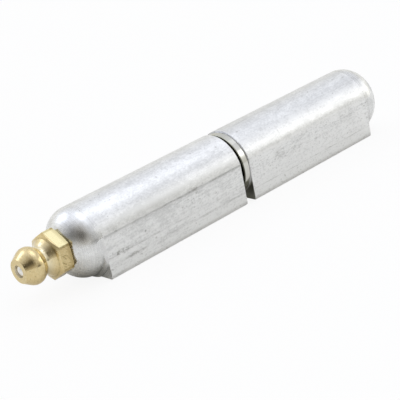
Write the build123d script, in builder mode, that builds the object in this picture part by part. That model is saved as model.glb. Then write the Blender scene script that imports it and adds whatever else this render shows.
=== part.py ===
# Weld-on barrel hinge with a grease nipple, in millimetres.
# X runs along the hinge line from the greased half to the pin half, the weld flats face -Y,
# and the feet lie on Z = 0. The origin is the middle of the footprint.
import os
from math import radians, sqrt, tan

from build123d import *

os.makedirs("parts", exist_ok=True)

# extruded barrel: a circle with one quarter filled out square
barrel_r = 6.5
weld_flat = barrel_r - 0.17  # hinge line to the weld flat, a little inside the circle
corner_r = 0.4              # corner between the weld flat and the foot
half_len = 39.0             # each knuckle, nose tip to inner end
edge_break = 0.15           # on the sawn inner ends
end_corner_r = 0.7          # filed corner of the greased half's foot

# bullet nose turned on each outer end, up to a shoulder where the corner stock begins
nose_r = barrel_r             # runs into the barrel's round with no step
tip_r = 1.0                 # flat at the tip
shoulder = 5.55             # nose tip to the shoulder face
shoulder_r = 0.7            # tool radius in the shoulder
nose_len = shoulder - shoulder_r

# hinge pin, pressed into one half and running in the other
pin_r = 4.0
pin_run = 0.05              # radial running clearance
pin_pressed = 24.0          # length held in the pin half
pin_chamfer = 0.7
bore_depth = 29.5           # full-width bore in the greased half
grease_pocket = 1.4         # left between the pin's end and the drill point
drill_point = 118           # point angle of the drills, in degrees
mouth_chamfer = 0.5

# thrust washer on the pin, lying against the pin half
washer_r = barrel_r - 0.25  # clear of the weld flats
washer_t = 1.5
washer_run = 0.1            # radial clearance on the pin
washer_edge = 0.15
run_gap = 0.6               # between the washer and the greased half

# grease nipple, measured outwards from its seat on the nose
nipple_rise = 0.1           # its hole is tapped this far above the hinge line
seat_r = 3.6                # spot face under the hexagon
seat_depth = 0.3
hex_flats = 7.8
hex_len = 2.65
hex_back, hex_back_r = 0.15, 4.0        # chamfer behind the hexagon: height, circle it leaves
hex_front, hex_front_r = 0.5, 3.5     # and the one in front
hex_turn = 28               # how far round the nipple happened to tighten, in degrees
neck_r = 2.6
neck_from = 3.75            # foot of the cone in front of the hexagon
head_r = 3.4                # the head that grease couplers take, 6.5 mm or a little over
head_at = 6.05              # its widest place
bulge_r = 1.9               # it is rounded this far each side, then a cone runs to the nose face
cone_at = 7.05
nose_face_r = 2.2
nipple_out = 8.5            # seat to nose face
thread_r = 3.0              # 6 mm thread
relief_r, relief_len = 2.5, 0.5
thread_len = 5.5
thread_tip = 0.5            # lead-in chamfer

# grease way through the nipple, with its check ball and spring
way_r = 0.9
chamber_r = 1.6
ledge = 1.4                 # chamber's floor, where the spring stands
ball_r = 1.5
mouth_r = 1.15
mouth_len = 0.5
ball_gap = 0.06             # ball to the edge of its seat
wire_r = 0.16
coil_r = 1.05
coil_turns = 6.5
coil_gap = 0.02             # spring to the ledge and to the ball

# stations along the hinge line
total_len = nipple_out - seat_depth + 2 * half_len + run_gap + washer_t
nipple_end = -total_len / 2                         # nipple's nose face
seat_x = nipple_end + nipple_out
greased_tip = seat_x - seat_depth
greased_end = greased_tip + half_len
washer_x = greased_end + run_gap
pin_half_end = washer_x + washer_t
pin_half_tip = pin_half_end + half_len
bore_floor = greased_end - bore_depth
pin_near = bore_floor + grease_pocket
pin_far = pin_half_end + pin_pressed

# where the head's round meets the neck behind and the cone in front
neck_to = head_at - sqrt(bulge_r**2 - (bulge_r - head_r + neck_r)**2)
cone_r = head_r - bulge_r + sqrt(bulge_r**2 - (cone_at - head_at)**2)

# the ball lies on the edge where the mouth opens out, and the spring fills what is left behind it
throat = nipple_out - mouth_len - (chamber_r - mouth_r)
ball_x = nipple_end + mouth_len + sqrt(ball_r**2 - mouth_r**2) + ball_gap
spring_from = seat_x - ledge - wire_r - coil_gap
spring_to = ball_x + sqrt((ball_r + wire_r + coil_gap)**2 - coil_r**2)
spring_len = spring_from - spring_to

# the hinge line's place: the footprint is centred on Y, the foot is at Z = 0
axis_y = (weld_flat - barrel_r) / 2
axis_z = barrel_r
nipple_z = axis_z + nipple_rise
hinge_line = Axis((0, axis_y, axis_z), (1, 0, 0))
nipple_line = Axis((0, axis_y, nipple_z), (1, 0, 0))


def lengthways(z):
    # upright plane through a line at height z, local x along X and local y upwards
    return Plane(origin=(0, axis_y, z), x_dir=(1, 0, 0), z_dir=(0, -1, 0))


def across(x, z):
    # plane square to the hinge line at x, local x along Y and local y upwards
    return Plane(origin=(x, axis_y, z), x_dir=(0, 1, 0), z_dir=(1, 0, 0))


def out(a, r):
    # nipple's half section: a outwards from the seat, r from its own line
    return (seat_x - a, r)


def corner(a, r):
    return (seat_x - a, axis_y, nipple_z + r)


def barrel_section(x):
    # round from the crease over the top to the foot, then the square corner and the weld flat
    crease = (-weld_flat, sqrt(barrel_r**2 - weld_flat**2))
    under, over = (0, -barrel_r), (barrel_r, 0)
    foot_end = (-weld_flat + corner_r, -barrel_r)
    flat_end = (-weld_flat, -barrel_r + corner_r)
    with BuildSketch(across(x, axis_z)) as section:
        with BuildLine():
            ThreePointArc(crease, over, under)
            Line(under, foot_end)
            RadiusArc(foot_end, flat_end, corner_r)
            Line(flat_end, crease)
        make_face()
    return section.sketch


def nose_waste(tip, way):
    # half section of what the lathe takes off: an elliptical nose, then the shoulder's radius
    clear = 2 * barrel_r
    end, face = tip + way * nose_len, tip + way * shoulder
    with BuildSketch(lengthways(axis_z)) as waste:
        with BuildLine():
            EllipticalCenterArc((end, tip_r), nose_len, nose_r - tip_r,
                                start_angle=180 if way > 0 else 0, arc_size=-90 * way)
            RadiusArc((end, nose_r), (face, nose_r + shoulder_r), way * shoulder_r)
            Polyline((face, nose_r + shoulder_r), (face, clear), (tip - way, clear),
                     (tip - way, 0), (tip, 0), (tip, tip_r))
        make_face()
    return waste.sketch


def drilled(start, way, depth, r, mouth):
    # half section of a drilled hole: chamfered mouth, straight wall, drill point
    point = r / tan(radians(drill_point / 2))
    with BuildSketch(lengthways(axis_z)) as hole:
        with BuildLine():
            Polyline((start - way * mouth, 0), (start - way * mouth, r + 2 * mouth),
                     (start + way * mouth, r), (start + way * depth, r),
                     (start + way * (depth + point), 0), close=True)
        make_face()
    return hole.sketch


with BuildPart() as greased_knuckle:
    extrude(barrel_section(greased_end), amount=-half_len)
    revolve(nose_waste(greased_tip, 1), axis=hinge_line, mode=Mode.SUBTRACT)
    end_face = greased_knuckle.faces().sort_by(Axis.X)[-1]
    fillet(end_face.edges(), radius=edge_break)
    # filed lower corner of the inner end, fading out where the barrel's round rises past it
    with BuildSketch(Plane.XZ.offset(-barrel_r)):
        with BuildLine():
            Line((greased_end - end_corner_r, 0), (greased_end, 0))
            Line((greased_end, 0), (greased_end, end_corner_r))
            RadiusArc((greased_end, end_corner_r), (greased_end - end_corner_r, 0), end_corner_r)
        make_face()
    extrude(amount=2 * barrel_r, mode=Mode.SUBTRACT)
    revolve(drilled(greased_end, -1, bore_depth, pin_r + pin_run, mouth_chamfer),
            axis=hinge_line, mode=Mode.SUBTRACT)
    # spot face and tapped hole for the nipple
    with BuildSketch(across(greased_tip + seat_depth, nipple_z)):
        Circle(seat_r)
    extrude(amount=-1, mode=Mode.SUBTRACT)
    with BuildSketch(across(seat_x - 1, nipple_z)):
        Circle(thread_r)
    extrude(amount=1 + bore_floor - seat_x, mode=Mode.SUBTRACT)

with BuildPart() as pin_knuckle:
    extrude(barrel_section(pin_half_end), amount=half_len)
    revolve(nose_waste(pin_half_tip, -1), axis=hinge_line, mode=Mode.SUBTRACT)
    end_face = pin_knuckle.faces().sort_by(Axis.X)[0]
    fillet(end_face.edges(), radius=edge_break)
    revolve(drilled(pin_half_end, 1, pin_pressed, pin_r, mouth_chamfer),
            axis=hinge_line, mode=Mode.SUBTRACT)

with BuildPart() as hinge_pin:
    with BuildSketch(across(pin_near, axis_z)):
        Circle(pin_r)
    extrude(amount=pin_far - pin_near)
    chamfer(hinge_pin.edges().filter_by(GeomType.CIRCLE), length=pin_chamfer, length2=pin_chamfer)

with BuildPart() as thrust_washer:
    with BuildSketch(across(washer_x, axis_z)):
        Circle(washer_r)
        Circle(pin_r + washer_run, mode=Mode.SUBTRACT)
    extrude(amount=washer_t)
    fillet(thrust_washer.edges().filter_by(GeomType.CIRCLE), radius=washer_edge)

with BuildPart() as grease_nipple:
    # turned body: thread, hexagon blank, throat, neck and head out to the nose face
    hex_corner_r = hex_flats / sqrt(3)
    with BuildSketch(lengthways(nipple_z)) as body:
        with BuildLine():
            Polyline(out(-thread_len, 0), out(-thread_len, thread_r - thread_tip),
                     out(thread_tip - thread_len, thread_r), out(-relief_len - 0.3, thread_r),
                     out(-relief_len, relief_r), out(0, relief_r), out(0, hex_back_r),
                     out(hex_back, hex_corner_r), out(hex_len - hex_front, hex_corner_r),
                     out(hex_len, hex_front_r), out(neck_from, neck_r), out(neck_to, neck_r))
            ThreePointArc(out(neck_to, neck_r), out(head_at, head_r), out(cone_at, cone_r))
            Polyline(out(cone_at, cone_r), out(nipple_out, nose_face_r), out(nipple_out, 0),
                     out(-thread_len, 0))
        make_face()
        for a, r, radius in ((neck_from, neck_r, 0.9), (neck_to, neck_r, 0.5),
                             (nipple_out, nose_face_r, 0.12)):
            fillet(body.vertices().sort_by_distance(corner(a, r))[0], radius=radius)
    revolve(axis=nipple_line)
    # hexagon: the blank keeps what lies inside the flats
    with BuildSketch(across(seat_x, nipple_z)):
        Circle(2 * hex_corner_r)
        RegularPolygon(hex_corner_r, 6, rotation=hex_turn, mode=Mode.SUBTRACT)
    extrude(amount=-hex_len, mode=Mode.SUBTRACT)
    # grease way: drilled from the thread, wider where the spring and the ball sit
    with BuildSketch(lengthways(nipple_z)):
        with BuildLine():
            Polyline(out(-thread_len, 0), out(-thread_len, way_r + 0.3),
                     out(0.3 - thread_len, way_r), out(ledge, way_r), out(ledge, chamber_r),
                     out(throat, chamber_r), out(nipple_out - mouth_len, mouth_r),
                     out(nipple_out, mouth_r), out(nipple_out, 0), close=True)
        make_face()
    revolve(axis=nipple_line, mode=Mode.SUBTRACT)

with BuildPart() as check_ball:
    with BuildSketch(lengthways(nipple_z)):
        with BuildLine():
            Line((ball_x - ball_r, 0), (ball_x + ball_r, 0))
            ThreePointArc((ball_x + ball_r, 0), (ball_x, ball_r), (ball_x - ball_r, 0))
        make_face()
    revolve(axis=nipple_line)

with BuildPart() as check_spring:
    with BuildLine():
        wire = Helix(spring_len / coil_turns, spring_len, coil_r,
                     center=(spring_to, axis_y, nipple_z), direction=(1, 0, 0))
    with BuildSketch(Plane(origin=wire @ 0, z_dir=wire % 0)):
        Circle(wire_r)
    sweep()

for name, piece in (
    ("greased_knuckle", greased_knuckle), ("pin_knuckle", pin_knuckle),
    ("hinge_pin", hinge_pin), ("thrust_washer", thrust_washer),
    ("grease_nipple", grease_nipple), ("check_ball", check_ball),
    ("check_spring", check_spring),
):
    piece.part.label = name
    export_step(piece.part, f"parts/{name}.step")
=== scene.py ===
# Looks for the weld-on barrel hinge: metal finishes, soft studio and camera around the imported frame.
import math

import bpy
import numpy as np
from mathutils import Matrix, Vector


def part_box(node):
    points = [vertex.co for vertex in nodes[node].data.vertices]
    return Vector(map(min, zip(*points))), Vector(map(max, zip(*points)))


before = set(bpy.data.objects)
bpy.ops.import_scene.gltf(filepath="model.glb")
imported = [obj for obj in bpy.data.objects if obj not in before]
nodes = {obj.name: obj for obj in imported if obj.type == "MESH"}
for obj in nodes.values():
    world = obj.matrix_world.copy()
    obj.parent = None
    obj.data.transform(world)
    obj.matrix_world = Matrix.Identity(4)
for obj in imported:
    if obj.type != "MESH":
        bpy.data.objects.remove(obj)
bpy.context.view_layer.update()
print("frame loaded:", len(nodes), "nodes")


def setSockets(tree, node, values):
    # sockets by name or number: a wire is linked, anything else is the socket's own value
    for name, value in values.items():
        if isinstance(value, Wire):
            tree.links.new(value.socket, node.inputs[name])
        else:
            node.inputs[name].default_value = value


# one socket of a node tree, with ordinary arithmetic
class Wire:
    def __init__(self, tree, socket):
        self.tree = tree
        self.socket = socket

    def node(self, kind, settings=None, values=None, output=0):
        # any other node: settings go in first, then the values of its sockets
        made = self.tree.nodes.new(kind)
        for name, value in (settings or {}).items():
            setattr(made, name, value)
        setSockets(self.tree, made, values or {})
        return Wire(self.tree, made.outputs[output])

    def maths(self, operation, *others):
        return self.node("ShaderNodeMath", {"operation": operation}, dict(enumerate((self,) + others)))

    def vectorMaths(self, operation, other, output=0):
        return self.node("ShaderNodeVectorMath", {"operation": operation}, {0: self, 1: other}, output)

    def __add__(self, other):
        return self.maths("ADD", other)

    def __mul__(self, other):
        return self.maths("MULTIPLY", other)

    def __sub__(self, other):
        return self.maths("SUBTRACT", other)

    def __truediv__(self, other):
        return self.maths("DIVIDE", other)

    def __rsub__(self, other):
        return self.node("ShaderNodeMath", {"operation": "SUBTRACT"}, {0: other, 1: self})

    __radd__ = __add__
    __rmul__ = __mul__

    def root(self):
        return self.maths("SQRT")

    def size(self):
        return self.maths("ABSOLUTE")

    def least(self, other):
        return self.maths("MINIMUM", other)

    def most(self, other):
        return self.maths("MAXIMUM", other)

    def ramp(self, low, high, start=0.0, end=1.0):
        # smooth step from start to end as this goes from low to high
        return self.node("ShaderNodeMapRange", {"interpolation_type": "SMOOTHSTEP"},
                         {0: self, 1: low, 2: high, 3: start, 4: end})

    def near(self, centre, width):
        # 1 at centre, fading to 0 a width away
        return (self - centre).size().ramp(0.0, width, 1.0, 0.0)

    def tint(self, first, second):
        # colour between first and second, as this goes from 0 to 1
        return self.node("ShaderNodeMix", {"data_type": "RGBA"}, {0: self, 6: first, 7: second}, 2)

    def stretch(self, by):
        return self.vectorMaths("MULTIPLY", by)

    def shifted(self, by):
        return self.vectorMaths("ADD", by)

    def split(self):
        made = self.tree.nodes.new("ShaderNodeSeparateXYZ")
        setSockets(self.tree, made, {0: self})
        return [Wire(self.tree, out) for out in made.outputs]

    def joined(self, y, z):
        return self.node("ShaderNodeCombineXYZ", None, {0: self, 1: y, 2: z})

    def noise(self, scale, detail, roughness):
        # smooth noise about 0, from -0.5 to 0.5
        return self.node("ShaderNodeTexNoise", None, {"Vector": self, "Scale": scale, "Detail": detail,
                                                      "Roughness": roughness}) - 0.5


def newMaterial(name):
    material = bpy.data.materials.new(name)
    material.use_nodes = True
    tree = material.node_tree
    tree.nodes.clear()
    shader = tree.nodes.new("ShaderNodeBsdfPrincipled")
    output = tree.nodes.new("ShaderNodeOutputMaterial")
    tree.links.new(shader.outputs[0], output.inputs[0])
    return material, tree, shader


def placeOn(tree):
    # place on the piece, turned from metres into millimetres
    place = Wire(tree, tree.nodes.new("ShaderNodeTexCoord").outputs["Object"])
    return place.stretch((1000, 1000, 1000))


def bump(height):
    # height is in millimetres, and the distance turns it into metres
    return height.node("ShaderNodeBump", None, {"Strength": 1.0, "Distance": 0.001, "Height": height})


def boxOf(node):
    # lowest and highest corner of a node at rest, in millimetres
    return [1000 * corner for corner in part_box(node)]


# stations along the hinge line, and the lines themselves, read back from the frame
greasedEnd = boxOf("greased_knuckle")[1].x
pinEnd = boxOf("pin_knuckle")[0].x
flatY = boxOf("pin_knuckle")[0].y
rightTip = boxOf("pin_knuckle")[1].x
leftTip = greasedEnd - (rightTip - pinEnd)      # where the nose would end without the nipple's seat
washerFace = boxOf("thrust_washer")[0].x
hinge = sum(boxOf("thrust_washer"), Vector()) / 2
nippleFront = boxOf("grease_nipple")[0].x
nipple = sum(boxOf("grease_nipple"), Vector()) / 2
barrelRadius = hinge.z                          # the barrel's underside lies at height 0

# lengths are in millimetres; a ramp is given as from, to, value before and value after, or as from and
# to where it goes from 0 to 1
aluminium = {
    "colour": (0.905, 0.91, 0.905, 1), "dull": (0.69, 0.695, 0.69, 1), "stainAndShade": (0.36, 0.355, 0.34, 1),
    "sawn": (0.27, 0.275, 0.22, 1),
    "roughness": 0.34, "flatRoughness": 0.46, "noseRoughness": 0.26, "grainRoughness": 0.14,
    # distance from the nose's tip to the shoulder's rise, its face and the end of the turning
    "shoulderRise": 4.84, "shoulderFace": 5.5, "turned": 5.62, "blend": 0.04,
    "onPlane": (0.02, 0.06, 1.0, 0.0),          # by distance to the flat's plane
    # noises: stretch along X, Y and Z, scale, detail, roughness
    "noises": {
        "drift": ((1.0, 1.0, 1.0), 0.5, 2.0, 0.5), "skin": ((0.07, 1.7, 1.7), 1.3, 4.0, 0.6),
        "fine": ((0.12, 5.0, 5.0), 1.6, 3.0, 0.6), "grain": ((0.8, 1.0, 1.25), 2.7, 3.0, 0.65),
        "mottle": ((0.7, 1.0, 1.0), 0.9, 4.0, 0.65), "cloud": ((0.6, 1.0, 1.0), 0.28, 3.0, 0.55),
        "rings": ((1.0, 1.0, 1.0), 3.2, 4.0, 0.7), "ticks": ((0.7, 1.0, 1.0), 1.5, 4.0, 0.7),
        "specks": ((0.7, 1.0, 1.0), 2.1, 2.0, 0.5), "waver": ((0.5, 0.6, 0.6), 1.1, 4.0, 0.65),
        "broken": ((0.3, 1.0, 1.0), 1.2, 3.0, 0.5),
    },
    "driftBy": 0.7, "ticksAbove": (-0.08, 0.12), "specksAbove": (0.13, 0.23), "specksWithin": (-0.1, 0.1),
    # share of each noise in the tone: on the barrel, on the turned nose, and more on the flat
    "tone": {"grain": (1.6, 0.5, 0.0), "mottle": (1.2, 1.2, 0.0), "cloud": (0.8, 0.8, 0.0),
             "skin": (0.7, 0.0, 0.9), "fine": (0.3, 0.0, 0.0), "rings": (0.0, 1.3, 0.0)},
    # the same for the height, in millimetres
    "height": {"grain": (0.01, 0.0015, 0.003), "skin": (0.007, 0.0, 0.0), "fine": (0.001, 0.0, 0.0)},
    "ringHeight": 0.005, "smoothTip": (0.4, 2.0), "speckDepth": 0.01,
    # painted highlight and painted shade bands along the barrel: height, width, on the greased half, on the
    # pin half
    "highlightBands": ((9.4, 1.1, -0.4, 0.0), (10.9, 1.0, 0.0, 0.4), (8.1, 0.9, 0.0, 0.3)),
    # the flat gets paler towards its foot, a painted reflection of the pale floor in front, and more so on
    # the pin half
    "flatTop": 7.0, "floorReflectionFade": 0.07, "pinTone": -0.12, "pinFlatTone": 0.3,
    # crease: the edge's height, the line's distance below it and half width, the same out of the flat,
    # how it wavers and where it breaks off
    "creaseZ": 7.98, "creaseLine": (0.06, 0.24), "creaseReach": (0.04, 0.3), "creaseWaver": 0.5,
    "creaseDepth": 0.012,
    "creaseGrain": (-0.12, 0.08, 0.15, 1.0), "creaseCloud": (-0.12, 0.1, 1.0, 0.45),
    # the edge there is rounded over: half width on the greased half and on the pin half
    "roll": (0.25, 0.9), "rollDepth": 0.055, "rollReach": (0.3, 0.9, 1.0, 0.0),
    # stains: in the crease, on the flat under it and in the grain, on each half
    "creaseStain": (0.7, 0.1), "underCrease": (0.22, 0.02), "underCreaseFade": (0.0, 0.9, 1.0, 0.0),
    "grainStain": (0.4, 1.1), "speckStain": 0.45,
    # painted shade by height: darker towards the flat's foot, low on the nose's turned surface, on its
    # shoulder and the face
    "flatFootShade": (0.4, 1.0, 0.32, 0.0), "noseShade": (0.0, 4.0, 0.95, 0.0),
    "shoulderShade": (1.5, 5.0, 0.62, 0.1), "faceShade": 0.05,
    # die lines on each flat: height, width, strength
    "greasedLines": ((3.85, 0.3, 0.34), (2.5, 0.34, 0.34), (1.8, 0.2, 0.12)),
    "pinLines": ((2.3, 0.16, 0.4), (3.2, 0.16, 0.14), (6.1, 0.14, 0.12)),
    "lineWaver": 0.3, "lineBreaks": (-0.12, 0.12, 0.25, 1.0),
    # marks on the flats: X, Z, reach along X and Z, strength, depth
    "flatMarks": ((-27.6, 4.0, 3.4, 0.8, 1.1, 0.006), (-25.0, 2.5, 4.0, 0.6, 0.6, 0.003),
                  (-21.4, 5.33, 0.32, 0.24, 0.9, 0.012), (-19.4, 3.2, 0.4, 0.3, 0.5, 0.004),
                  (-10.0, 5.9, 0.25, 1.0, 0.3, 0.0), (-4.1, 5.35, 0.4, 0.22, 0.6, 0.01),
                  # the first mark on the next line has a negative strength: a painted highlight on the rim
                  # of the dent listed just before it
                  (-4.15, 5.6, 0.32, 0.26, -1.2, 0.0), (-9.0, 7.9, 3.0, 0.5, 0.3, 0.0),
                  (13.3, 6.1, 2.8, 1.3, 0.42, 0.0), (19.0, 5.7, 4.6, 0.5, 0.42, 0.0),
                  (16.5, 4.6, 7.0, 1.9, 0.16, 0.0), (32.5, 7.0, 3.5, 1.6, 0.3, 0.0)),
    # marks on the round: X, degrees from +Y, reach along X and around, strength, depth
    "roundMarks": ((-14.3, 120, 0.3, 0.26, 0.6, 0.012), (0.5, 121, 0.28, 0.4, 0.6, 0.012),
                   (-28.0, 160, 2.6, 0.9, 0.3, 0.0), (-8.5, 164, 3.0, 0.7, 0.3, 0.0),
                   (-20.0, 141, 8.0, 0.8, 0.16, 0.0), (10.0, 93, 4.2, 0.4, 0.4, 0.0),
                   (11.8, 131, 1.4, 0.7, 0.3, 0.0), (21.6, 130, 1.6, 0.6, 0.2, 0.0),
                   (7.0, 113, 0.7, 0.3, 0.7, 0.006), (18.6, 110, 0.3, 0.3, 0.5, 0.004),
                   (37.4, 111, 0.9, 0.5, 0.45, 0.004), (33.5, 158, 3.0, 1.2, 0.24, 0.0),
                   (22.0, 104, 14.0, 0.5, 0.14, 0.0)),
    "markEdge": (0.1, 1.0, 1.0, 0.0),           # by distance to the mark's middle, counted in reaches
    "wideMark": 0.5,                            # a mark that reaches further than this is broken up
    # broken rim of the pin half beside the washer
    "rimWidth": 0.06, "rimSlope": 3.0,
    # rough sawn ends, darkened partly for the sawing and partly as painted shade in the gap and below the
    # washer: depth, how much of the colour, and on the pin half only outside and below
    "sawnDepth": 0.04, "sawnCover": 0.85, "sawnOutside": (6.2, 6.4), "sawnBelow": (3.0, 4.5, 1.0, 0.0),
}


def distanceFrom(line, y, z):
    # root of the sum of the squares of the distances along Y and Z
    return ((y - line.y) * (y - line.y) + (z - line.z) * (z - line.z)).root()


def aluminiumMarks():
    # centre, reach along X, Y and Z, strength and depth of each mark
    marks = []
    for x, z, reachX, reachZ, strength, depth in aluminium["flatMarks"]:
        marks.append(((x, flatY, z), (reachX, 1.0, reachZ), strength, depth))
    for x, degrees, reachX, around, strength, depth in aluminium["roundMarks"]:
        turn = math.radians(degrees)
        y = hinge.y + barrelRadius * math.cos(turn)
        z = hinge.z + barrelRadius * math.sin(turn)
        marks.append(((x, y, z), (reachX, around, around), strength, depth))
    return marks


def aluminiumFinish():
    # grain, mottle and cloud: noise; skin and fine: noise drawn out along X and bent by a slow drift;
    # turned noses: noise of X and radius only; specks and ticks: noise past a level; crease, die lines
    # and painted highlight and shade bands: distance in Z to a height; marks: distance to each place,
    # counted in reaches
    material, tree, shader = newMaterial("milledAluminium")
    place = placeOn(tree)
    x, y, z = place.split()
    radius = distanceFrom(hinge, y, z)

    # which part of the knuckles this is
    blend = aluminium["blend"]
    fromTip = (x - leftTip).least(rightTip - x)
    turned = (aluminium["turned"] - fromTip).ramp(-blend, blend)
    pastRise = fromTip.ramp(aluminium["shoulderRise"], aluminium["shoulderRise"] + blend) * turned
    onFace = fromTip.ramp(aluminium["shoulderFace"], aluminium["shoulderFace"] + blend) * turned
    straight = 1.0 - turned
    onFlat = (y - flatY).size().ramp(*aluminium["onPlane"]) * straight
    onPin = (x - (greasedEnd + pinEnd) / 2).ramp(-blend, blend)
    greased = 1.0 - onPin

    def noise(name, at=place):
        stretch, scale, detail, roughness = aluminium["noises"][name]
        return at.stretch(stretch).noise(scale, detail, roughness)

    def halves(values):
        # the first value on the greased half, the second on the pin half
        return greased * values[0] + onPin * values[1]

    def summed(table):
        # sum of the noises, each by its share on the barrel, on the nose and, added to that, on the flat
        total = 0.0
        for name, (onBarrel, onNose, moreOnFlat) in aluminium[table].items():
            total = noises[name] * (straight * onBarrel + turned * onNose + onFlat * moreOnFlat) + total
        return total

    driftBy = aluminium["driftBy"]
    drawn = place.shifted((noise("drift") + 0.5).stretch((0.0, driftBy, driftBy)))
    grain = noise("grain")
    cloud = noise("cloud")
    rings = noise("rings", x.joined(radius, 0.0))
    noises = {"grain": grain, "cloud": cloud, "rings": rings, "mottle": noise("mottle"),
              "skin": noise("skin", drawn), "fine": noise("fine", drawn)}
    ticks = noise("ticks").ramp(*aluminium["ticksAbove"])
    specks = noise("specks").ramp(*aluminium["specksAbove"]) * cloud.ramp(*aluminium["specksWithin"])

    # tone: 0 is the dull colour and 1 the clean one
    tone = summed("tone") + onPin * (onFlat * aluminium["pinFlatTone"] + aluminium["pinTone"]) + 0.5
    # painted reflection: the flat paler towards its foot
    tone = tone + (aluminium["flatTop"] - z) * onFlat * aluminium["floorReflectionFade"]
    # painted highlight and painted shade bands on each half
    for level, width, onGreased, onOther in aluminium["highlightBands"]:
        tone = tone + z.near(level, width) * halves((onGreased, onOther))
    colour = tone.ramp(0.0, 1.0).tint(aluminium["dull"], aluminium["colour"])

    below = aluminium["creaseZ"] - z
    fromFlat = y - flatY
    crease = (below + noise("waver") * aluminium["creaseWaver"]).near(*aluminium["creaseLine"]) \
        * fromFlat.near(*aluminium["creaseReach"]) * straight \
        * grain.ramp(*aluminium["creaseGrain"]) * cloud.ramp(*aluminium["creaseCloud"])
    underCrease = below.ramp(*aluminium["underCreaseFade"]) * onFlat
    # stain and painted shade: the crease, grain, specks, die lines and marks are stains; the flat's foot,
    # the nose low down, its shoulder and face are darkened as painted shade
    stainAndShade = crease * halves(aluminium["creaseStain"]) + underCrease * halves(aluminium["underCrease"]) \
        + (grain * -1.0).most(0.0) * halves(aluminium["grainStain"]) * onFlat \
        + specks * aluminium["speckStain"] + z.ramp(*aluminium["flatFootShade"]) * onFlat \
        + z.ramp(*aluminium["noseShade"]) * (turned - pastRise) \
        + z.ramp(*aluminium["shoulderShade"]) * (pastRise - onFace) + onFace * aluminium["faceShade"]
    broken = noise("broken").ramp(*aluminium["lineBreaks"])
    wavered = z + cloud * aluminium["lineWaver"]
    for side, lines in ((greased, "greasedLines"), (onPin, "pinLines")):
        for level, width, strength in aluminium[lines]:
            stainAndShade = stainAndShade + wavered.near(level, width) * onFlat * side * broken * strength

    # height in millimetres, with the edge at the crease rounded over: square of how far it is inside
    # the half width, over that width
    roll = halves(aluminium["roll"])
    over = (roll - below.size()).most(0.0)
    rounding = over * over / roll * fromFlat.ramp(*aluminium["rollReach"]) * straight
    ringed = rings * turned * fromTip.ramp(*aluminium["smoothTip"])
    height = summed("height") + ringed * aluminium["ringHeight"] - specks * aluminium["speckDepth"] \
        - crease * aluminium["creaseDepth"] - rounding * aluminium["rollDepth"]
    for centre, reach, strength, depth in aluminiumMarks():
        away = place.shifted([-c for c in centre]).stretch([1 / r for r in reach])
        here = away.vectorMaths("LENGTH", (0, 0, 0), 1).ramp(*aluminium["markEdge"])
        texture = ticks if max(reach[0], reach[2]) > aluminium["wideMark"] else 1.0
        stainAndShade = stainAndShade + here * texture * strength
        height = height - here * depth
    rim = (x - pinEnd).near(0.0, aluminium["rimWidth"])
    height = height + (barrelRadius - radius).most(0.0) * rim * aluminium["rimSlope"]

    # sawn end faces: partly rough sawn metal, partly painted shade where they face the gap and below the
    # washer
    sawnPin = z.ramp(*aluminium["sawnBelow"]) * radius.ramp(*aluminium["sawnOutside"])
    sawn = (x - greasedEnd).near(0.0, aluminium["sawnDepth"]) \
        + (x - pinEnd).near(0.0, aluminium["sawnDepth"]) * sawnPin
    colour = stainAndShade.most(0.0).least(1.0).tint(colour, aluminium["stainAndShade"])
    colour = (sawn * aluminium["sawnCover"]).least(1.0).tint(colour, aluminium["sawn"])
    rough = aluminium["roughness"]
    roughness = onFlat * (aluminium["flatRoughness"] - rough) + grain * aluminium["grainRoughness"] \
        + turned * (aluminium["noseRoughness"] - rough) + rough
    setSockets(tree, shader, {"Base Color": colour, "Metallic": 1.0, "Roughness": roughness,
                              "Normal": bump(height)})
    return material


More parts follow.
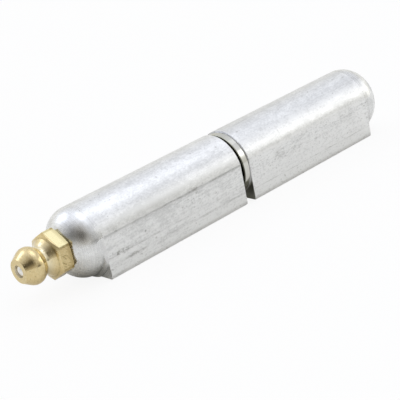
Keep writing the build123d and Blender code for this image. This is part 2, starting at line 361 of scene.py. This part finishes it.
brass = {
    "colour": (0.875, 0.745, 0.445, 1), "dull": (0.70, 0.54, 0.26, 1), "stainAndShade": (0.25, 0.175, 0.055, 1),
    # top here: a lit copy of the brass for the hexagon's top flat; waistSheen: painted sheen on the waist
    "top": (0.79, 0.715, 0.42, 1), "topCover": 0.9, "waistSheen": (0.93, 0.86, 0.64, 1), "waistCover": 0.65,
    "grease": (0.95, 0.94, 0.90, 1),
    "roughness": 0.13, "hexRoughness": 0.08, "greaseRoughness": 0.3, "grainRoughness": 0.08,
    # stations from the nipple's front: waist and its half width, hexagon's front, where its sides
    # begin, and its seat
    "waistAt": (4.3, 1.5), "hexFront": 5.85, "hexSide": (6.25, 6.45), "seat": (7.55, 8.3),
    # degrees from lying on a corner, height of the top flat over the axis, radius of the mouth
    "hexTurn": 28, "topAbove": (1.9, 2.4), "mouthEdge": (1.12, 1.17, 1.0, 0.0),
    # noises: scale, detail, roughness
    "rings": (6.0, 3.0, 0.6), "patches": (0.7, 3.0, 0.55), "grain": (3.2, 3.0, 0.6),
    "nicks": (2.9, 3.0, 0.55), "scrapes": (0.9, 4.0, 0.7), "scuffs": (2.4, 3.0, 0.6),
    "nickStretch": (0.7, 2.2, 1.1), "nicksAbove": (0.13, 0.22), "nicksUpTo": (7.0, 7.6, 1.0, 0.0),
    "scrapeStretch": (1.0, 0.6, 1.0), "scrapeWidth": 0.02, "scrapesWithin": (-0.05, 0.1),
    "scuffSlant": 1.2, "scuffStretch": (1.0, 0.3, 0.5), "scuffsAbove": (0.0, 0.12),
    "scuffsWithin": (-0.12, 0.02),
    # painted shade lines at the foot of the chamfer, distance from the hexagon's front and width
    "footLines": ((0.0, 0.14), (0.45, 0.12)), "footGrain": (-0.15, 0.1),
    # painted dark reflection along the corners: by distance to a line through two corners, and by radius
    "cornerWidth": (0.2, 0.34), "cornerFrom": (3.9, 4.1),
    "tone": {"grain": 0.9, "patches": 0.7, "rings": 0.5},
    # shares of the brown: nicks, scrapes and scuffs are marks, the rest painted shade and painted reflection
    "stainAndShadeShares": {"nicks": 0.5, "scrapes": 0.35, "scuffs": 0.6, "seat": 0.35, "footShade": 0.4, "cornerShade": 0.5,
               "shadedSides": 0.2},
    # heights and depths in millimetres
    "ringHeight": 0.002, "grainHeight": 0.002, "hexGrainHeight": 0.0032, "nickDepth": 0.016,
    "scuffDepth": 0.012,
}


def brassFinish():
    # turned rings: noise of X and radius; grain and patches: noise; nicks and scuffs: stretched noise
    # past a level; scrapes: where noise crosses 0; painted shade and painted reflection in brown where
    # the hexagon meets its seat, along its corners, which lie near three lines through the axis, at the
    # foot of its chamfer and on its sides
    material, tree, shader = newMaterial("turnedBrass")
    place = placeOn(tree)
    x, y, z = place.split()
    along = x - nippleFront
    across = y - hinge.y
    up = z - nipple.z
    radius = (across * across + up * up).root()
    rings = x.joined(radius, 0.0).noise(*brass["rings"])
    patches = place.noise(*brass["patches"])
    grain = place.noise(*brass["grain"])

    # which part of the nipple this is
    onHex = along.ramp(*brass["hexSide"])
    onTop = up.ramp(*brass["topAbove"]) * onHex
    onSides = onHex - onTop
    seat = along.ramp(*brass["seat"]) * onHex
    clear = 1.0 - seat
    mouth = radius.ramp(*brass["mouthEdge"])

    # painted shade at the foot of the chamfer
    footShade = 0.0
    for step, width in brass["footLines"]:
        footShade = along.near(brass["hexFront"] + step, width) + footShade
    # painted dark reflection along the hexagon's corners
    cornerShade = 0.0
    for k in range(3):
        turn = math.radians(brass["hexTurn"] + 60 * k)
        off = across * -math.sin(turn) + up * math.cos(turn)
        cornerShade = off.near(*brass["cornerWidth"]) + cornerShade
    nicks = place.stretch(brass["nickStretch"]).noise(*brass["nicks"]).ramp(*brass["nicksAbove"]) \
        * (1.0 - onTop) * along.ramp(*brass["nicksUpTo"])
    scrapes = place.stretch(brass["scrapeStretch"]).noise(*brass["scrapes"]) \
        .near(0.0, brass["scrapeWidth"]) * patches.ramp(*brass["scrapesWithin"]) * clear
    slanted = (along + up * brass["scuffSlant"]).joined(up - along, across)
    scuffs = slanted.stretch(brass["scuffStretch"]).noise(*brass["scuffs"]).ramp(*brass["scuffsAbove"]) \
        * patches.ramp(*brass["scuffsWithin"]) * onSides * clear
    # nicks, scrapes and scuffs are marks; the seat band, sides, chamfer foot and corners are painted shade
    # and painted reflection
    marks = {"nicks": nicks, "scrapes": scrapes, "scuffs": scuffs, "seat": seat, "shadedSides": onSides,
             "footShade": footShade * grain.ramp(*brass["footGrain"]),
             "cornerShade": cornerShade * onHex * radius.ramp(*brass["cornerFrom"])}
    noises = {"grain": grain, "patches": patches, "rings": rings}

    tone = sum(noises[name] * share for name, share in brass["tone"].items()) + 0.5
    colour = tone.ramp(0.0, 1.0).tint(brass["dull"], brass["colour"])
    # painted light: the top flat's lit tint and the waist's painted sheen
    colour = (onTop * brass["topCover"]).tint(colour, brass["top"])
    colour = (along.near(*brass["waistAt"]) * brass["waistCover"]).tint(colour, brass["waistSheen"])
    stainAndShade = sum(marks[name] * share for name, share in brass["stainAndShadeShares"].items())
    colour = stainAndShade.least(1.0).tint(colour, brass["stainAndShade"])
    height = rings * brass["ringHeight"] + grain * (onHex * brass["hexGrainHeight"] + brass["grainHeight"]) \
        - nicks * brass["nickDepth"] - scuffs * brass["scuffDepth"]
    roughness = mouth * brass["greaseRoughness"] + onHex * brass["hexRoughness"] \
        + grain * brass["grainRoughness"] + brass["roughness"]
    # pale grease left in the mouth
    setSockets(tree, shader, {"Base Color": mouth.tint(colour, brass["grease"]), "Metallic": 1.0 - mouth,
                              "Roughness": roughness, "Normal": bump(height * clear)})
    return material


steels = {
    "washer": {"colour": (0.74, 0.735, 0.69, 1), "dull": (0.68, 0.675, 0.63, 1),
               "roughness": 0.11, "ring": 0.001},
    # the pin's dark colour: partly grease, partly painted shade of the gap it is seen through
    "pin": {"colour": (0.30, 0.29, 0.25, 1), "dull": (0.18, 0.17, 0.13, 1),
            "roughness": 0.25, "ring": 0.003},
    "ball": {"colour": (0.94, 0.92, 0.87, 1), "dull": (0.87, 0.85, 0.80, 1),
             "roughness": 0.3, "ring": 0.001},
    "spring": {"colour": (0.58, 0.58, 0.57, 1), "dull": (0.45, 0.44, 0.42, 1),
               "roughness": 0.3, "ring": 0.001},
}
# the same on all of them: noises (scale, detail, roughness) and their shares
steelGrain = {"rings": (6.0, 4.0, 0.7), "ringShare": 0.6, "patches": (0.8, 3.0, 0.6), "tone": (-0.3, 0.3),
              "patchRoughness": 0.08}
# the washer is darker on top and darker near the gap, more so lower down, both painted shade: ramps by
# height, and for the unshaded part by distance from the face next to the gap
washerShade = {
    "top": (0.5, 0.5, 0.45, 1), "topAbove": (11.0, 12.6), "topCover": 0.6,
    "low": (0.08, 0.08, 0.06, 1), "high": (0.48, 0.48, 0.40, 1), "rise": (6.0, 12.0),
    "outOfGapShade": (0.18, 0.28),
}


def steelFinish(name):
    # rings: noise of X and the distance to the hinge line; patches: slow noise over the surface
    look = steels[name]
    material, tree, shader = newMaterial(name + "Steel")
    place = placeOn(tree)
    x, y, z = place.split()
    rings = x.joined(distanceFrom(hinge, y, z), 0.0).noise(*steelGrain["rings"])
    patches = place.noise(*steelGrain["patches"])
    tone = (patches + rings * steelGrain["ringShare"]).ramp(*steelGrain["tone"])
    colour = tone.tint(look["dull"], look["colour"])
    if name == "washer":
        # painted shade: darker on top, and dark on the face beside the gap
        dull = z.ramp(*washerShade["topAbove"]) * washerShade["topCover"]
        colour = dull.tint(colour, washerShade["top"])
        gapShade = z.ramp(*washerShade["rise"]).tint(washerShade["low"], washerShade["high"])
        colour = (x - washerFace).ramp(*washerShade["outOfGapShade"]).tint(gapShade, colour)
    setSockets(tree, shader, {"Base Color": colour, "Metallic": 1.0,
                              "Roughness": patches * steelGrain["patchRoughness"] + look["roughness"],
                              "Normal": bump(rings * look["ring"])})
    return material


def dress(node, material):
    slots = nodes[node].data.materials
    slots.clear()
    slots.append(material)


metal = aluminiumFinish()
dress("greased_knuckle", metal)
dress("pin_knuckle", metal)
dress("grease_nipple", brassFinish())
dress("thrust_washer", steelFinish("washer"))
dress("hinge_pin", steelFinish("pin"))
dress("check_ball", steelFinish("ball"))
dress("check_spring", steelFinish("spring"))
print("finishes made")

studio = {
    "low": (0.85, 0.84, 0.80, 1), "high": (0.86, 0.885, 0.96, 1), "seen": (1, 1, 1, 1),
    "window": (0.87, 0.93, 1.12, 1), "windowWay": (112, 45), "windowHalf": 10,
    "lensSide": (0.89, 0.82, 0.71, 1),
    # azimuth and elevation, half width in degrees, strength
    "bright": (((-22, 12), 13, 1.05), ((-8, 70), 16, 1.1), ((110, 43), 13, 1.2), ((-47, 24), 6, 1.15)),
    # the first is the dark place around the lens
    "dark": (((-133, 32), 26, 0.88), ((-175, 28), 20, 0.7), ((-79, -8), 20, 1.0),
             ((-7, 47), 12, 0.47), ((162, 5), 15, 0.48)),
}


def wayTo(angles):
    # unit vector at an azimuth and elevation given in degrees
    turn, rise = (math.radians(a) for a in angles)
    return (math.cos(rise) * math.cos(turn), math.cos(rise) * math.sin(turn), math.sin(rise))


def buildWorld():
    # white room: a plain level, brighter windows and darker places, each a lobe
    world = bpy.data.worlds.new("room")
    bpy.context.scene.world = world
    world.use_nodes = True
    tree = world.node_tree
    tree.nodes.clear()
    way = Wire(tree, tree.nodes.new("ShaderNodeTexCoord").outputs["Generated"])

    def lobe(angles, half):
        # e to the power of the cosine to its middle less 1, scaled to fall to a half at the half width
        cosine = way.vectorMaths("DOT_PRODUCT", wayTo(angles), 1)
        return ((cosine - 1.0) * (math.log(2) / (1 - math.cos(math.radians(half))))).maths("EXPONENT")

    level = 1.0
    for angles, half, strength in studio["dark"]:
        level = level * (1.0 - lobe(angles, half) * strength)
    for angles, half, strength in studio["bright"]:
        level = level + lobe(angles, half) * strength
    seen = way.node("ShaderNodeLightPath")          # its first output is Is Camera Ray
    colour = way.split()[2].ramp(0.0, 1.0).tint(studio["low"], studio["high"])
    colour = lobe(studio["windowWay"], studio["windowHalf"]).tint(colour, studio["window"])
    lensWay, lensHalf, _ = studio["dark"][0]
    colour = lobe(lensWay, lensHalf).tint(colour, studio["lensSide"])
    colour = seen.tint(colour, studio["seen"])
    back = way.node("ShaderNodeBackground", None, {0: colour, 1: level * (1.0 - seen) + seen})
    output = tree.nodes.new("ShaderNodeOutputWorld")
    setSockets(tree, output, {0: back})


buildWorld()

panel = {"size": 0.06, "aim": (0, 0, 0.0065),
         "upper": (0.074, -0.015, 0.133), "upperPower": 0.0020,
         "side": (0.119, -0.096, 0.077), "sidePower": 0.0038}


def areaLight(name, place, power):
    # round panel turned to the middle of the hinge
    data = bpy.data.lights.new(name, "AREA")
    data.shape = "DISK"
    data.size = panel["size"]
    data.energy = power
    lamp = bpy.data.objects.new(name, data)
    lamp.location = place
    lamp.rotation_euler = (Vector(place) - Vector(panel["aim"])).to_track_quat("Z", "Y").to_euler()
    bpy.context.scene.collection.objects.link(lamp)


areaLight("upperPanel", panel["upper"], panel["upperPower"])
areaLight("sidePanel", panel["side"], panel["sidePower"])

floorLook = {"half": 0.6, "lines": 5, "drop": 0.00002, "roughness": 0.8,
             "seen": (1, 1, 1, 1), "other": (0.95, 0.94, 0.90, 1), "glow": 0.9, "gloss": 0.08}


def buildFloor():
    # flat square: x is u, y is v and z is a hair below the feet, on an even grid
    lines = floorLook["lines"]
    side = np.linspace(-floorLook["half"], floorLook["half"], lines)
    u, v = np.meshgrid(side, side, indexing="ij")
    points = np.stack([u.ravel(), v.ravel(), np.full(u.size, -floorLook["drop"])], 1)
    first = (np.arange(lines - 1)[:, None] * lines + np.arange(lines - 1)[None]).ravel()
    faces = np.stack([first, first + lines, first + lines + 1, first + 1], 1)
    mesh = bpy.data.meshes.new("floor")
    mesh.from_pydata(points.tolist(), [], faces.tolist())
    floor = bpy.data.objects.new("floor", mesh)
    bpy.context.scene.collection.objects.link(floor)

    # white where it is seen, and a plain pale floor to the light that falls on the hinge
    material, tree, shader = newMaterial("paleFloor")
    rays = tree.nodes.new("ShaderNodeLightPath").outputs
    seen = Wire(tree, rays["Is Camera Ray"])
    setSockets(tree, shader, {"Roughness": floorLook["roughness"],
                              "Base Color": seen.tint(floorLook["other"], floorLook["seen"])})
    glowing = seen
    for kind in ("Is Glossy Ray", "Is Transmission Ray"):
        glowing = glowing.most(Wire(tree, rays[kind]) * floorLook["gloss"])
    glow = seen.node("ShaderNodeEmission", None, {"Strength": 1.0})
    mixed = seen.node("ShaderNodeMixShader", None, {0: glowing * floorLook["glow"],
                                                    1: Wire(tree, shader.outputs[0]), 2: glow})
    setSockets(tree, tree.nodes["Material Output"], {0: mixed})
    mesh.materials.append(material)


buildFloor()
print("studio built")

lens = {"place": (-0.15403, -0.18426, 0.09649), "look": (0.58995, 0.71886, -0.36742),
        "up": (0.38362, 0.15118, 0.91103), "sensor": 36, "focal": 124.67, "nearest": 0.01, "furthest": 10}


def buildCamera():
    # its axes: right is look crossed with the given up, and up is square to both
    look = Vector(lens["look"]).normalized()
    right = look.cross(Vector(lens["up"])).normalized()
    up = right.cross(look)
    data = bpy.data.cameras.new("camera")
    data.sensor_width = lens["sensor"]
    data.lens = lens["focal"]
    data.clip_start = lens["nearest"]
    data.clip_end = lens["furthest"]
    camera = bpy.data.objects.new("camera", data)
    turn = Matrix((right, up, -look)).transposed().to_4x4()
    camera.matrix_world = Matrix.Translation(lens["place"]) @ turn
    bpy.context.scene.collection.objects.link(camera)
    bpy.context.scene.camera = camera


buildCamera()
bpy.context.scene.view_settings.view_transform = "Standard"
print("camera set")
